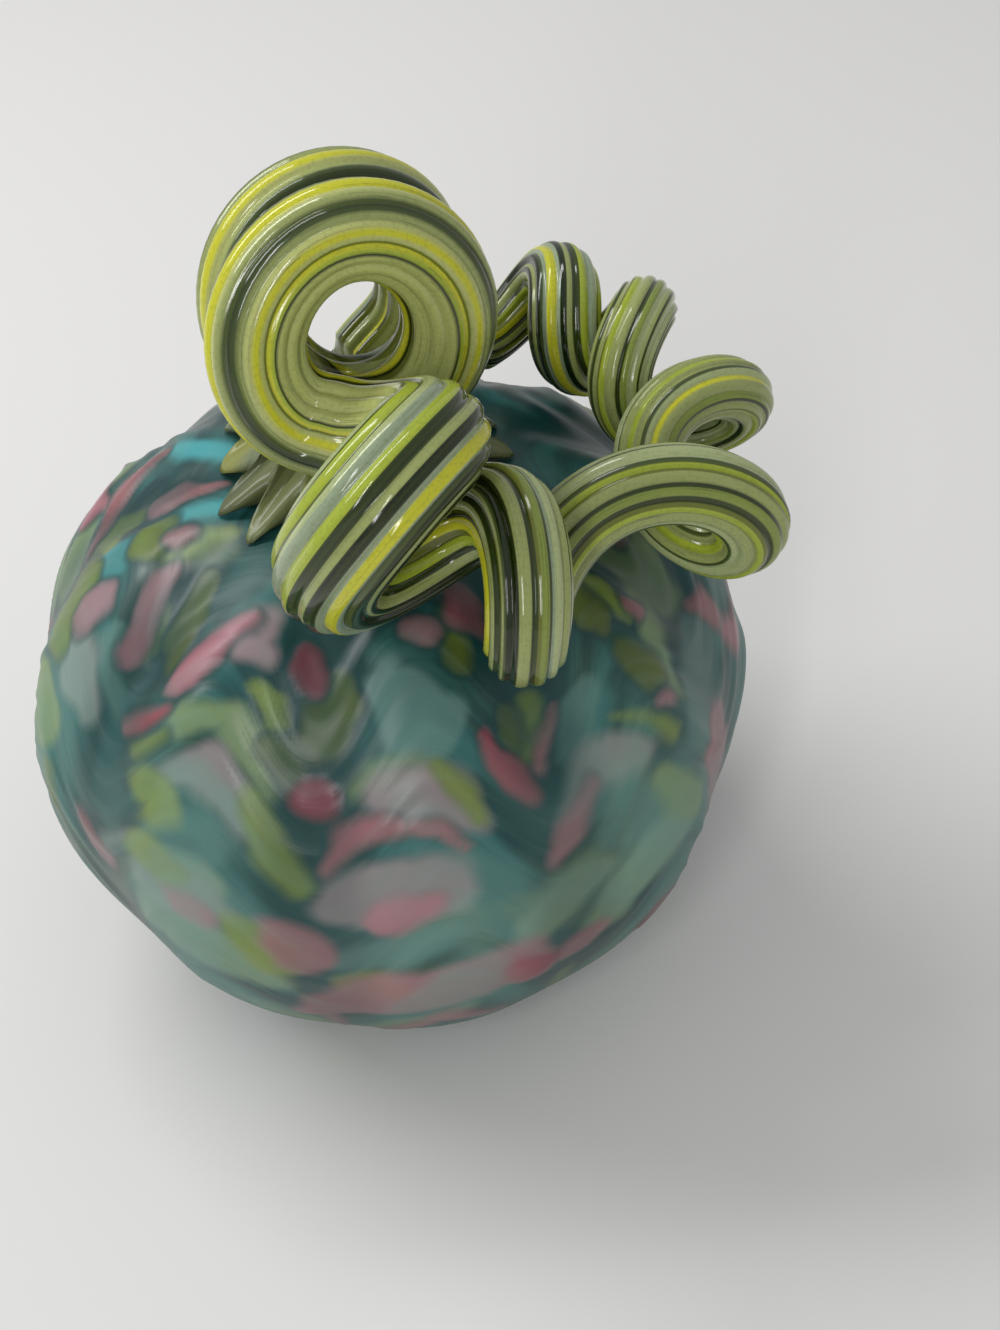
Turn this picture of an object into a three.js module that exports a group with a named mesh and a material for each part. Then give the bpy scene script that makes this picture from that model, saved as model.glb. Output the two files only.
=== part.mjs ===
// Blown glass pumpkin with a hot-applied stem of striped, ribbed cane.
// Millimetres, +Z up, origin at the middle of the foot, -Y is the front.
import * as THREE from "three";

// Body: a hollow bubble shaped by a lobed mould
const bodyR = 70;
const bellyZ = 58;
const topRise = 59;
const footDrop = 70;
const footR = 27;
const footBlend = 5;
const wall = 4.5;
const lobeCount = 9;
const lobeTurn = 5;
const bellyValley = 0.03;
const shoulderValley = 0.085;
const dimpleDepth = 12;
const dimpleR = 24;
const neckR = 8;
const pointsPerLobe = 6;
const outerRows = 26;
const innerRows = 14;

// Stem root: the gather dropped over the neck, its ribs drawn out to claws
const ribs = 14;
const ribDepth = 0.1;
const seatGap = 0.35;
const plugGap = 0.3;
const plugDepth = 3;
const ribTurn = -6;
const gatherX = -1.5;
const gatherY = 1;
const clawR = 27;
const clawUneven = 2;
const clawWaves = 5;
const notchR = 17.5;
const seatReach = 1.3;
const underRows = 5;
const overRows = [0, 0.12, 0.3, 0.55, 0.8];
const clawEdge = 1.6;
const archLift = 1.8;
const flare = 1.6;
const swell = 0.7;
const caneFoot = [0, 7, 115];
const caneFootLean = 25;
const neckSteps = 5;
const tipTurns = [30, 60];

// Cane: wound as one pull. Each row is one stop: the angle wound so far, the middle of the turn
// there, the way its axis faces (round from the front, then up), the turn's half width and half
// height, how far that oval leans, and the thickness of the cane.
const windings = [
  { wound: 90, at: [-2, 3.5, 142.5], facing: [9, 2], half: [15.5, 17.5], lean: 1, cane: 16.8 },
  { wound: 450, at: [0, -16, 147], facing: [-1, 8], half: [15.5, 17], lean: 3, cane: 16.5 },
  { wound: 650, at: [-8, -28, 143], facing: [8, -17], half: [7.5, 9.5], lean: 37, cane: 17.4 },
  { wound: 775, at: [-2, -42.5, 133], facing: [20, -33], half: [17, 16.5], lean: -16, cane: 19 },
  { wound: 900, at: [6, -43, 127], facing: [32, -50], half: [16, 12.5], lean: 33, cane: 18.8 },
  { wound: 1240, at: [18, -49.5, 118], facing: [104, -48], half: [11.5, 10.5], lean: 48, cane: 14 },
  { wound: 1600, at: [54, -30, 111], facing: [168, -24], half: [9.5, 9], lean: 22, cane: 13.8 },
  { wound: 1960, at: [60, 1.5, 110], facing: [185, -9], half: [10.5, 8.5], lean: 4, cane: 11.6 },
  { wound: 2300, at: [51, 18, 116], facing: [230, 4], half: [8, 7.5], lean: -2, cane: 12.4 },
  { wound: 2560, at: [42.5, 29, 117], facing: [238, 14], half: [8.5, 7.5], lean: 13, cane: 14 },
  { wound: 2790, at: [24.5, 29, 119], facing: [245, -2], half: [7.5, 6.5], lean: 5, cane: 10 },
];
const firstWound = -20;
const lastWound = 2790;
const woundStep = 20;
const gapStep = 5;
const bendRun = 42;

const rad = THREE.MathUtils.degToRad;
const { lerp, smoothstep } = THREE.MathUtils;
const around = ribs * 2;

// Valley weight around the body: 0 on a lobe crest, 1 at the bottom of a valley
function valley(angle) {
  const wave = Math.cos(lobeCount * (angle - rad(lobeTurn - 90)));
  return Math.pow(0.5 - 0.5 * wave, 1.25);
}

// Softened floor, so the belly rolls into the foot instead of ending on an edge
function settle(z) {
  return footBlend * Math.log(1 + Math.exp(z / footBlend));
}

// Point of the wall at a latitude (-90 under the foot, 90 over the neck), some way in from outside
function shellPoint(latitude, angle, inset) {
  const lat = rad(latitude);
  const depth = lerp(bellyValley, shoulderValley, smoothstep(latitude, 0, 60));
  const fade = smoothstep(latitude, -65, -10) * (1 - smoothstep(latitude, 58, 74));
  const groove = depth * fade * valley(angle) * (1 - 0.5 * inset / wall);
  const r = (bodyR - inset) * Math.cos(lat) * (1 - groove);
  const lat0 = Math.acos(footR / bodyR);
  const rest = settle(bellyZ - footDrop * Math.sin(lat0));
  const height = (latitude < 0 ? footDrop : topRise) - inset;
  let z = inset + settle(bellyZ - inset + height * Math.sin(lat)) - rest;
  if (latitude > 0) z -= dimpleDepth * Math.exp(-((r / dimpleR) ** 2));
  return new THREE.Vector3(r * Math.cos(angle), r * Math.sin(angle), z);
}

// Height of the outer face at a place inside the top dimple
function shellTop(x, y) {
  const r = Math.hypot(x, y);
  const angle = Math.atan2(y, x);
  let low = 30;
  let high = 90;
  for (let i = 0; i < 30; i++) {
    const mid = (low + high) / 2;
    const p = shellPoint(mid, angle, 0);
    if (Math.hypot(p.x, p.y) > r) low = mid;
    else high = mid;
  }
  return shellPoint(low, angle, 0).z;
}

// Height at which the root rests: clear of the highest of the face around a place
function seatHeight(x, y) {
  const near = [[0, 0], [seatReach, 0], [-seatReach, 0], [0, seatReach], [0, -seatReach]];
  return Math.max(...near.map(([dx, dy]) => shellTop(x + dx, y + dy))) + seatGap;
}

// Closed body from rings of equal count, with a point at each end
function loft(rings, startPoint, endPoint) {
  const count = rings[0].length;
  const points = [startPoint, ...rings.flat(), endPoint];
  const end = points.length - 1;
  const faces = [];
  for (let j = 0; j < count; j++) {
    const k = (j + 1) % count;
    faces.push(0, 1 + k, 1 + j);
    for (let i = 0; i < rings.length - 1; i++) {
      const a = 1 + i * count;
      faces.push(a + j, a + k, a + count + k);
      faces.push(a + j, a + count + k, a + count + j);
    }
    const a = 1 + (rings.length - 1) * count;
    faces.push(a + j, a + k, end);
  }
  const geometry = new THREE.BufferGeometry().setFromPoints(points);
  geometry.setIndex(faces);
  geometry.computeVertexNormals();
  return geometry;
}

function bodyShell() {
  const count = lobeCount * pointsPerLobe;
  const ring = (latitude, inset) => Array.from({ length: count }, (_, j) => (
    shellPoint(latitude, j / count * Math.PI * 2, inset)));
  const band = (from, to, rows, inset) => Array.from({ length: rows + 1 }, (_, i) => (
    ring(lerp(from, to, i / rows), inset)));
  const outer = band(-latitudeOf(footR, 0), latitudeOf(neckR, 0), outerRows, 0);
  const inner = band(latitudeOf(neckR, wall), -latitudeOf(footR, wall), innerRows, wall);
  const floor = inner.at(-1)[0].z;
  return loft([...outer, ...inner], new THREE.Vector3(0, 0, 0), new THREE.Vector3(0, 0, floor));
}

// Latitude at which the wall has a given radius
function latitudeOf(r, inset) {
  return THREE.MathUtils.radToDeg(Math.acos(r / (bodyR - inset)));
}

// One value of the windings at a wound angle, eased through the stops
function wind(wound, read) {
  const last = windings.length - 1;
  let i = 0;
  while (i < last - 1 && wound > windings[i + 1].wound) i++;
  const slope = (k) => {
    const before = windings[Math.max(k - 1, 0)];
    const after = windings[Math.min(k + 1, last)];
    return (read(after) - read(before)) / (after.wound - before.wound);
  };
  const span = windings[i + 1].wound - windings[i].wound;
  const t = (wound - windings[i].wound) / span;
  const rise = t * t * (3 - 2 * t);
  return lerp(read(windings[i]), read(windings[i + 1]), rise)
    + span * slope(i) * t * (1 - t) ** 2 - span * slope(i + 1) * t * t * (1 - t);
}

// Middle of the cane at a wound angle: a point on the turn's leaning oval
function canePoint(wound) {
  const facing = rad(wind(wound, (w) => w.facing[0]));
  const tilt = rad(wind(wound, (w) => w.facing[1]));
  const lean = rad(wind(wound, (w) => w.lean));
  const axis = new THREE.Vector3(Math.sin(facing) * Math.cos(tilt), -Math.cos(facing) * Math.cos(tilt),
    Math.sin(tilt));
  const side = new THREE.Vector3(Math.cos(facing), Math.sin(facing), 0);
  const up = new THREE.Vector3().crossVectors(axis, side);
  const across = wind(wound, (w) => w.half[0]) * Math.cos(rad(wound) - lean);
  const rise = wind(wound, (w) => w.half[1]) * Math.sin(rad(wound) - lean);
  const p = new THREE.Vector3(...[0, 1, 2].map((k) => wind(wound, (w) => w.at[k])));
  p.addScaledVector(side, across * Math.cos(lean) - rise * Math.sin(lean));
  return p.addScaledVector(up, across * Math.sin(lean) + rise * Math.cos(lean));
}

// Way the cane leaves the root: up, leaning to the back
const footHeading = new THREE.Vector3(0, Math.sin(rad(caneFootLean)), Math.cos(rad(caneFootLean)));

// Angle around the cane of one of its lines: rib tops and the grooves between them by turns
function ribAngle(j) {
  return j / around * Math.PI * 2 + rad(ribTurn);
}

// Middle line of the cane with its thickness, from the top of the gather to the tip
function caneLine(step) {
  const base = new THREE.Vector3(...caneFoot);
  const start = canePoint(firstWound);
  const heading = canePoint(firstWound + 1).sub(start).normalize();
  const reach = base.distanceTo(start) * 0.45;
  const neck = new THREE.CubicBezierCurve3(base, base.clone().addScaledVector(footHeading, reach),
    start.clone().addScaledVector(heading, -reach), start);
  const thick = wind(firstWound, (w) => w.cane);
  const line = neck.getPoints(neckSteps).slice(0, -1).map((p) => ({ p, thick }));
  for (let w = firstWound; w <= lastWound; w += step) {
    line.push({ p: canePoint(w), thick: wind(w, (s) => s.cane) });
  }
  return line;
}

function ribFactor(j) {
  return j % 2 ? 1 - ribDepth : 1;
}

// Rings of the ribbed cane, carried along the middle line without twisting, with a rounded tip
function caneRings() {
  const line = caneLine(woundStep);
  const normal = new THREE.Vector3(1, 0, 0);
  const binormal = new THREE.Vector3();
  const tangent = new THREE.Vector3();
  const rings = [];
  const addRing = (centre, r) => rings.push(Array.from({ length: around }, (_, j) => {
    const a = ribAngle(j);
    return centre.clone().addScaledVector(normal, r * ribFactor(j) * Math.cos(a))
      .addScaledVector(binormal, r * ribFactor(j) * Math.sin(a));
  }));
  line.forEach(({ p, thick }, i) => {
    const before = line[Math.max(i - 1, 0)].p;
    const after = line[Math.min(i + 1, line.length - 1)].p;
    if (i === 0) tangent.copy(footHeading);
    else tangent.subVectors(after, before).normalize();
    normal.addScaledVector(tangent, -normal.dot(tangent)).normalize();
    binormal.crossVectors(tangent, normal);
    addRing(p, thick / 2);
  });
  const { p, thick } = line.at(-1);
  for (const turn of tipTurns) {
    const ahead = thick / 2 * Math.sin(rad(turn));
    addRing(p.clone().addScaledVector(tangent, ahead), thick / 2 * Math.cos(rad(turn)));
  }
  return { rings, tip: p.clone().addScaledVector(tangent, thick / 2) };
}

// Rings of the root: plug in the neck, underside resting on the dimple, claws, flare up to the cane
function rootRings(firstCaneRing) {
  const plugR = neckR - plugGap;
  const star = (j) => {
    const a = ribAngle(j);
    const r = j % 2 ? notchR : clawR + clawUneven * Math.cos(clawWaves * a);
    return [gatherX + r * Math.cos(a), gatherY + r * Math.sin(a)];
  };
  const plug = (j, z) => {
    const a = ribAngle(j);
    return new THREE.Vector3(plugR * Math.cos(a), plugR * Math.sin(a), z);
  };
  const all = Array.from({ length: around }, (_, j) => j);
  const under = (s) => all.map((j) => {
    const [x, y] = star(j);
    const from = plug(j, 0);
    const px = lerp(from.x, x, s);
    const py = lerp(from.y, y, s);
    const arch = j % 2 ? archLift * s : 0;
    return new THREE.Vector3(px, py, seatHeight(px, py) + arch);
  });
  const sole = shellTop(neckR, 0) - plugDepth;
  const rim = under(1);
  const over = (h) => all.map((j) => {
    const edge = rim[j].clone();
    edge.z += clawEdge;
    const top = firstCaneRing[j];
    const s = (1 - h) ** flare;
    return new THREE.Vector3(lerp(top.x, edge.x, s), lerp(top.y, edge.y, s), lerp(edge.z, top.z, h ** swell));
  });
  const rings = [all.map((j) => plug(j, sole))];
  for (let i = 0; i <= underRows; i++) rings.push(under(i / underRows));
  rings.push(...overRows.map(over));
  return { rings, sole };
}

// Least gap of the cane to itself, between places with more cane between them than one bend takes
function leastGap() {
  const line = caneLine(gapStep);
  const run = [0];
  for (let i = 1; i < line.length; i++) run.push(run[i - 1] + line[i].p.distanceTo(line[i - 1].p));
  let least = Infinity;
  for (let i = 0; i < line.length; i++) {
    for (let j = i + 1; j < line.length; j++) {
      if (run[j] - run[i] < bendRun) continue;
      const thick = (line[i].thick + line[j].thick) / 2;
      least = Math.min(least, line[i].p.distanceTo(line[j].p) - thick);
    }
  }
  return least;
}

function stem() {
  const cane = caneRings();
  const root = rootRings(cane.rings[0]);
  return loft([...root.rings, ...cane.rings], new THREE.Vector3(0, 0, root.sole), cane.tip);
}

function glass(name, geometry, color, roughness) {
  const mesh = new THREE.Mesh(geometry, new THREE.MeshStandardMaterial({ color, roughness, metalness: 0 }));
  mesh.name = name;
  return mesh;
}

const pumpkin = new THREE.Group();
pumpkin.name = "glass_pumpkin";
pumpkin.add(glass("body_shell", bodyShell(), 0x5b8f8c, 0.45));
pumpkin.add(glass("stem", stem(), 0x7f9440, 0.12));
console.log(`least gap of the cane to itself: ${leastGap().toFixed(2)} mm`);
export default pumpkin;
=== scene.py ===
# %% [markdown]
# # A blown glass pumpkin
# The real ornament is two pieces of hot glass. A hollow body is blown into a lobed mould over a
# skin of melted coloured chips. A solid stem of ribbed, striped cane is then dropped on top and
# wound by hand into coils and curls. This lesson dresses the measured model of both pieces. The
# model arrives as a fixed frame, in metres, with +Z up and the front of the photograph towards -Y.

# %% Load the measured model
import math
import random
import bpy
import numpy as np
from mathutils import Matrix, Vector


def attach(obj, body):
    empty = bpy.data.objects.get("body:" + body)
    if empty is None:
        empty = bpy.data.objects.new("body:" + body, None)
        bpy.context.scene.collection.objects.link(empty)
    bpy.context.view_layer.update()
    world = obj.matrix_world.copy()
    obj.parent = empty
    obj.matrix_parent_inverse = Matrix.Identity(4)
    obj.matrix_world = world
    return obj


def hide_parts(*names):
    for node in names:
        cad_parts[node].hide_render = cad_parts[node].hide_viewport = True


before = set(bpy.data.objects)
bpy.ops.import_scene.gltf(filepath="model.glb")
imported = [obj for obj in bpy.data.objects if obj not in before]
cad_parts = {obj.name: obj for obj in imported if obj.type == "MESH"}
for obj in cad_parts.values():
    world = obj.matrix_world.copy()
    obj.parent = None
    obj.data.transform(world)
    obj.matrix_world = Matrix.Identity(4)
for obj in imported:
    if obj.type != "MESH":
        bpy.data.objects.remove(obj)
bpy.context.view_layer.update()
MM = 0.001
print("measured pieces:", sorted(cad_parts))


def add_object(name, data):
    """A new object in the scene."""
    made = bpy.data.objects.new(name, data)
    bpy.context.scene.collection.objects.link(made)
    return made


# %% [markdown]
# The camera comes first, because every finish is judged through it. The photograph looks down on
# the pumpkin at 42 degrees from an arm's length, rolled a little, with the body left of the middle.
# A camera is a turned and moved object, so its rotation can be built in three steps: look at the
# body's middle, roll, then swing until that middle lands on its pixel of the picture.

# %% Camera at the photograph's angle
BODY_MIDDLE = Vector((0, 0, 58 * MM))
LOOK_DOWN = math.radians(42)
DISTANCE = 398 * MM
ROLL = math.radians(6.5)
PICTURE = (1000, 1330)
FOCAL_PIXELS = 2000
MIDDLE_PIXEL = (389, 669)
SENSOR = 36

away = Vector((0, -math.cos(LOOK_DOWN), math.sin(LOOK_DOWN)))
right = Vector((1, 0, 0))
looking = Matrix((right, away.cross(right), away))
to_pixel = Vector((MIDDLE_PIXEL[0] - PICTURE[0] / 2, PICTURE[1] / 2 - MIDDLE_PIXEL[1], -FOCAL_PIXELS))
swing = Vector((0, 0, -1)).rotation_difference(to_pixel).to_matrix()
turned = (swing @ Matrix.Rotation(ROLL, 3, "Z") @ looking).transposed()
camera_data = bpy.data.cameras.new("photo_camera")
camera_data.sensor_width = SENSOR
camera_data.lens = FOCAL_PIXELS * SENSOR / PICTURE[1]
camera_data.clip_start = 10 * MM
camera = add_object("photo_camera", camera_data)
camera.matrix_world = Matrix.Translation(BODY_MIDDLE + away * DISTANCE) @ turned.to_4x4()
bpy.context.scene.camera = camera
print("lens in mm:", round(camera_data.lens, 2))

# %% [markdown]
# Shapes and finishes below are both networks of nodes, and both need a lot of arithmetic. Wiring
# Math nodes by hand hides the formula, so one small class wraps a node's output and turns ordinary
# Python operators into Math nodes.

# %% A node's output that takes part in arithmetic
class Value:
    """One output of a node. Arithmetic on it adds Math nodes to its network."""

    def __init__(self, network, socket):
        self.network = network
        self.socket = socket

    def of(self, operation, *others):
        return self.network.math(operation, self, *others)

    def __add__(self, other):
        return self.network.math("ADD", self, other)

    __radd__ = __add__

    def __sub__(self, other):
        return self.network.math("SUBTRACT", self, other)

    def __rsub__(self, other):
        return self.network.math("SUBTRACT", other, self)

    def __mul__(self, other):
        return self.network.math("MULTIPLY", self, other)

    __rmul__ = __mul__

    def __truediv__(self, other):
        return self.network.math("DIVIDE", self, other)

    def __pow__(self, other):
        return self.network.math("POWER", self, other)

    def __gt__(self, other):
        return self.network.math("GREATER_THAN", self, other)

    def __lt__(self, other):
        return self.network.math("LESS_THAN", self, other)

    def out(self, name):
        return Value(self.network, pick(self.socket.node.outputs, name))


def pick(sockets, key):
    """The socket with that place or name, among those that the node's settings leave in use."""
    if isinstance(key, int):
        return sockets[key]
    return next(s for s in sockets if s.name == key and s.enabled)


# %% [markdown]
# The second class adds the nodes themselves. Every kind of node comes from one method that takes
# its type, then its settings, such as a ramp's stops, and then what goes into its sockets: a number
# or another node's output. Kinds that are needed again and again have a short method of their own.
# Drawn noise is one of them: hot glass is always pulled, so its patterns are long one way.

# %% A network of nodes
def set_stops(ramp, stops):
    """Gives a ramp its stops, each a place from 0 to 1 and a colour."""
    while len(ramp.elements) > 1:
        ramp.elements.remove(ramp.elements[-1])
    ramp.elements[0].position = stops[0][0]
    ramp.elements[0].color = (*stops[0][1], 1)
    for place, colour in stops[1:]:
        ramp.elements.new(place).color = (*colour, 1)


class Network:
    """Adds nodes to one node tree."""

    def __init__(self, tree):
        self.tree = tree

    def node(self, kind, settings=None, inputs=None, output=0):
        made = self.tree.nodes.new(kind)
        for name, value in (settings or {}).items():
            if name == "stops":
                set_stops(made.color_ramp, value)
            else:
                setattr(made, name, value)
        for key, value in (inputs or {}).items():
            socket = pick(made.inputs, key)
            if isinstance(value, Value):
                self.tree.links.new(value.socket, socket)
            else:
                socket.default_value = value
        in_use = [s for s in made.outputs if s.enabled]
        if not in_use:
            return made
        return Value(self, in_use[0] if output == 0 else pick(made.outputs, output))

    def math(self, operation, *values):
        return self.node("ShaderNodeMath", {"operation": operation}, dict(enumerate(values)))

    def smooth(self, value, low, high, start=0.0, end=1.0):
        """Goes smoothly from start, where the value is low, to end, where it is high."""
        return self.node("ShaderNodeMapRange", {"interpolation_type": "SMOOTHSTEP"}, {
            "Value": value, "From Min": low, "From Max": high, "To Min": start, "To Max": end})

    def vector(self, x, y, z):
        return self.node("ShaderNodeCombineXYZ", {}, {"X": x, "Y": y, "Z": z})

    def noise(self, vector, scale, detail=1.0, distortion=0.0):
        return self.node("ShaderNodeTexNoise", {}, {
            "Vector": vector, "Scale": scale, "Detail": detail, "Distortion": distortion})

    def drawn_noise(self, x, y, along, scales, detail=1.0, distortion=0.0):
        """Noise on x and y that is drawn out in a third direction, with a scale for each."""
        across, length = scales
        place = self.vector(x * across, y * across, along * length)
        return self.noise(place, 1.0, detail, distortion)


# %% [markdown]
# A shape that follows a rule is grown by a Geometry Nodes tree. Its sizes are named inputs, as on a
# drawing. When the tree is done, its result is copied into a plain mesh and the modifier goes away,
# because only plain meshes travel well to other programs.

# %% Grow a plain mesh from a tree of geometry nodes
SOCKETS = {
    int: "NodeSocketInt", float: "NodeSocketFloat", bpy.types.Material: "NodeSocketMaterial",
    bpy.types.Object: "NodeSocketObject",
}


def shape_tree(name, sizes):
    """An empty tree with named inputs: its network, and its inputs as values."""
    tree = bpy.data.node_groups.new(name, "GeometryNodeTree")
    tree.interface.new_socket("Geometry", in_out="INPUT", socket_type="NodeSocketGeometry")
    for label, value in sizes.items():
        tree.interface.new_socket(label, in_out="INPUT", socket_type=SOCKETS[type(value)])
    tree.interface.new_socket("Geometry", in_out="OUTPUT", socket_type="NodeSocketGeometry")
    network = Network(tree)
    start = network.node("NodeGroupInput")
    return network, {label: start.out(label) for label in ("Geometry", *sizes)}


def store(network, geometry, name, value, kind="FLOAT", domain="POINT"):
    """Writes a value onto the geometry under a name that materials can read."""
    return network.node("GeometryNodeStoreNamedAttribute", {"data_type": kind, "domain": domain}, {
        "Geometry": geometry, "Name": name, "Value": value})


def end_tree(network, geometry, weld, finish):
    """Every tree ends the same way: welded, real, smooth, with its material."""
    welded = network.node("GeometryNodeMergeByDistance", {}, {"Geometry": geometry, "Distance": weld})
    real = network.node("GeometryNodeRealizeInstances", {}, {"Geometry": welded})
    smooth = network.node("GeometryNodeSetShadeSmooth", {}, {"Geometry": real})
    painted = network.node("GeometryNodeSetMaterial", {}, {"Geometry": smooth, "Material": finish})
    network.node("NodeGroupOutput", {}, {"Geometry": painted})


def grow(name, network, sizes, mesh):
    """A plain object: what the tree makes of a mesh, with these sizes."""
    seed = add_object(name + "_seed", mesh)
    modifier = seed.modifiers.new(name, "NODES")
    modifier.node_group = network.tree
    for socket in network.tree.interface.items_tree:
        if socket.in_out == "INPUT" and socket.name in sizes:
            modifier[socket.identifier] = sizes[socket.name]
    seen = seed.evaluated_get(bpy.context.evaluated_depsgraph_get())
    plain = bpy.data.meshes.new_from_object(seen)
    bpy.data.objects.remove(seed)
    plain.name = name
    print(name, "has", len(plain.vertices), "points and", len(plain.polygons), "faces")
    return add_object(name, plain)


# %% [markdown]
# Materials are made before the shapes, as empty names, so that the trees can hand them out. Their
# finish is written further down, once the shapes they sit on have been explained.

# %% Two finishes, to be filled in later
satin_skin = bpy.data.materials.new("satin_mottled_glass")
cane_gloss = bpy.data.materials.new("striped_cane_glass")
for finish in (satin_skin, cane_gloss):
    finish.use_nodes = True
    finish.node_tree.nodes.clear()
print("finishes to come:", satin_skin.name, "and", cane_gloss.name)

# %% [markdown]
# The body is a bubble blown into a mould with nine lobes. Its outline, its lobes and the dimple on
# top all follow formulas, so one flat grid is enough: its columns run round the body, and its rows
# run up the outside, over the neck's edge and down the inside. A Set Position node bends it.
# The hot skin sags as it is blown, so it lies on each lobe in soft folds like drapes. Their height
# is noise stretched along arches, which stand high on a lobe's crest and droop into the valleys.
# Where valleys and folds start, end or change is given as a pair of latitudes, in degrees.

# %% The lobed shell's sizes
SHELL_TURN = 5
SHELL = {
    "Columns": 396, "Outer Rows": 180, "Inner Rows": 30,
    "Body Radius": 70 * MM, "Belly Height": 58 * MM, "Top Rise": 59 * MM, "Foot Drop": 70 * MM,
    "Foot Radius": 27 * MM, "Foot Blend": 5 * MM, "Wall": 4.5 * MM, "Neck Radius": 8 * MM,
    "Lobes": 9.0, "Lobe Turn": math.radians(SHELL_TURN), "Belly Valley": 0.03, "Shoulder Valley": 0.085,
    "Dimple Depth": 12 * MM, "Dimple Radius": 24 * MM, "Arch Droop": 18.0,
    "Fold Height": 1.4 * MM, "Ripple Height": 0.2 * MM, "Finish": satin_skin,
}
FOLD_SCALES = (2.4, 0.13)
RIPPLE_SCALES = (3.5, 0.28)
VALLEY_POWER = 1.25
VALLEYS_DEEPEN = (0.0, 60.0)
VALLEYS_START = (-65.0, -10.0)
VALLEYS_END = (58.0, 74.0)
ARCHES_FLATTEN = (35.0, 60.0)
FOLDS_START = (-40.0, 8.0)
FOLDS_END = (52.0, 66.0)
SHELL_WELD = 0.01 * MM
TO_DEGREES = 180 / math.pi


def settled(height, blend):
    """A softened floor, which rolls the belly into the foot."""
    return blend * (1.0 + (height / blend).of("EXPONENT")).of("LOGARITHM", math.e)


def fold_height(network, size, around, arch):
    """Height of the drapes: long soft folds, with finer ripples that gather in the valleys."""
    east, north = around.of("SINE"), around.of("COSINE")
    long = network.drawn_noise(east, north, arch, FOLD_SCALES)
    fine = network.drawn_noise(east, north, arch, RIPPLE_SCALES)
    return (long - 0.5) * 2.0 * size["Fold Height"] + (fine - 0.5) * 2.0 * size["Ripple Height"]


# %% [markdown]
# The tree turns a grid point's column into an angle round the body, and its row into a latitude.
# From these two it works out how far out and how high the point stands: an oval on a flat foot, cut
# by the valleys between the lobes, pressed in by the dimple and lifted by the folds. What the
# finish asks for later is stored on the way: the angle, the latitude, the valleys and the arches.

# %% The lobed shell's tree
def shell_tree():
    network, size = shape_tree("Lobed shell", SHELL)
    rows = size["Outer Rows"] + size["Inner Rows"] + 1.0
    grid = network.node("GeometryNodeMeshGrid", {}, {
        "Size X": 1.0, "Size Y": 1.0, "Vertices X": size["Columns"] + 1.0, "Vertices Y": rows + 1.0})
    flat = network.node("ShaderNodeSeparateXYZ", {}, {0: network.node("GeometryNodeInputPosition")})
    around = flat.out("X") * math.tau
    row = (flat.out("Y") + 0.5) * rows
    inside = row > size["Outer Rows"] + 0.5
    inset = inside * size["Wall"]
    radius = size["Body Radius"] - inset
    top = (size["Neck Radius"] / radius).of("ARCCOSINE") * TO_DEGREES
    climb = row / size["Outer Rows"] * (1.0 - inside) + (rows - row) / size["Inner Rows"] * inside
    latitude = climb * (top + 90.0) - 90.0
    steep = latitude / TO_DEGREES

    lobe = size["Lobes"] * (around - size["Lobe Turn"])
    valley = (0.5 - 0.5 * lobe.of("COSINE")) ** VALLEY_POWER
    depth = network.smooth(latitude, *VALLEYS_DEEPEN, size["Belly Valley"], size["Shoulder Valley"])
    fade = network.smooth(latitude, *VALLEYS_START) * network.smooth(latitude, *VALLEYS_END, 1.0, 0.0)
    reach = radius * steep.of("COSINE") * (1.0 - depth * fade * valley * (1.0 - 0.5 * inside))

    below = latitude < 0.0
    half = size["Foot Drop"] * below + size["Top Rise"] * (1.0 - below) - inset
    foot = (size["Foot Radius"] / size["Body Radius"]).of("ARCCOSINE").of("SINE") * size["Foot Drop"]
    rest = settled(size["Belly Height"] - foot, size["Foot Blend"])
    belly = size["Belly Height"] - inset
    height = inset + settled(belly + half * steep.of("SINE"), size["Foot Blend"]) - rest
    dimple = size["Dimple Depth"] * (0.0 - (reach / size["Dimple Radius"]) ** 2.0).of("EXPONENT")
    height = (height - dimple * (1.0 - below)).of("MAXIMUM", 0.0)

    droop = size["Arch Droop"] * network.smooth(latitude, *ARCHES_FLATTEN, 1.0, 0.4)
    arch = latitude + droop * (0.5 - 0.5 * lobe.of("COSINE"))
    skin = (1.0 - inside) * network.smooth(latitude, *FOLDS_START)
    skin = skin * network.smooth(latitude, *FOLDS_END, 1.0, 0.0)
    rise = fold_height(network, size, around, arch) * skin
    out = reach + rise * steep.of("COSINE")
    place = network.vector(out * around.of("SINE"), 0.0 - out * around.of("COSINE"),
                           height + rise * steep.of("SINE"))

    shaped = grid
    for name, value in (("around", around * TO_DEGREES), ("latitude", latitude),
                        ("valley", valley * fade), ("arch", arch), ("inside", inside)):
        shaped = store(network, shaped, name, value)
    shaped = store(network, shaped, "UVMap", grid.out("UV Map"), "FLOAT2", "CORNER")
    bent = network.node("GeometryNodeSetPosition", {}, {"Geometry": shaped, "Position": place})
    end_tree(network, bent, SHELL_WELD, size["Finish"])
    return network


body = grow("body_glass", shell_tree(), SHELL, bpy.data.meshes.new("nothing"))
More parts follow.
